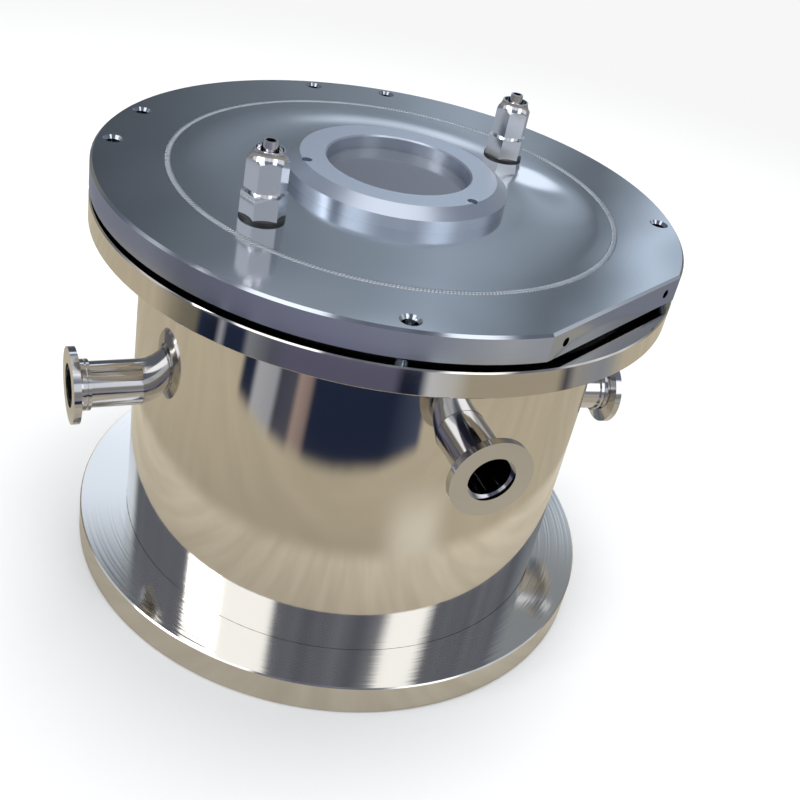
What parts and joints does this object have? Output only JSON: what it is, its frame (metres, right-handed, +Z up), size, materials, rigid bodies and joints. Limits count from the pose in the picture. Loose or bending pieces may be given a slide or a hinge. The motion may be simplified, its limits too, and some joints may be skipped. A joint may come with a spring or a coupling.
{
  "type": "vacuum chamber",
  "caption": "Round polished steel vacuum chamber with a loose water-cooled lid, window, two water couplings and three small-flange ports.",
  "frame": {"origin": "centre of the base plate's underside", "axes": "+Z up through the lid; -Y towards the side between the front port and the lid's flat; the lid's bolt holes lie on X and Y"},
  "size_m": [0.2376, 0.2309, 0.1964],
  "materials": {
    "polished_steel": "turned and polished stainless steel, brushed on the rim",
    "mirror_steel": "mirror-polished stainless steel",
    "satin_steel": "satin-polished stainless steel",
    "weld_steel": "rippled weld bead, bright",
    "port_steel": "polished stainless tube and flange",
    "coupling_steel": "bright turned and milled stainless steel",
    "ring_aluminium": "fine-turned aluminium, clear anodised",
    "seal_rubber": "black fluoroelastomer",
    "washer_rubber": "dark bonded sealing washer",
    "window_glass": "clear borosilicate glass"
  },
  "bodies": {
    "root": {"base_plate": "polished_steel", "barrel": "mirror_steel", "top_flange": "mirror_steel", "lid_plate": "satin_steel", "cooling_cover": "satin_steel", "cover_weld": "weld_steel", "lid_seal": "seal_rubber", "window_seal": "seal_rubber", "window_gasket": "seal_rubber", "window_glass": "window_glass", "window_ring": "ring_aluminium", "front_tube": "port_steel", "front_flange": "port_steel", "left_tube": "port_steel", "left_flange": "port_steel", "rear_tube": "port_steel", "rear_flange": "port_steel", "inlet_washer": "washer_rubber", "inlet_body": "coupling_steel", "inlet_nut": "coupling_steel", "outlet_washer": "washer_rubber", "outlet_body": "coupling_steel", "outlet_nut": "coupling_steel"}
  },
  "joints": []
}
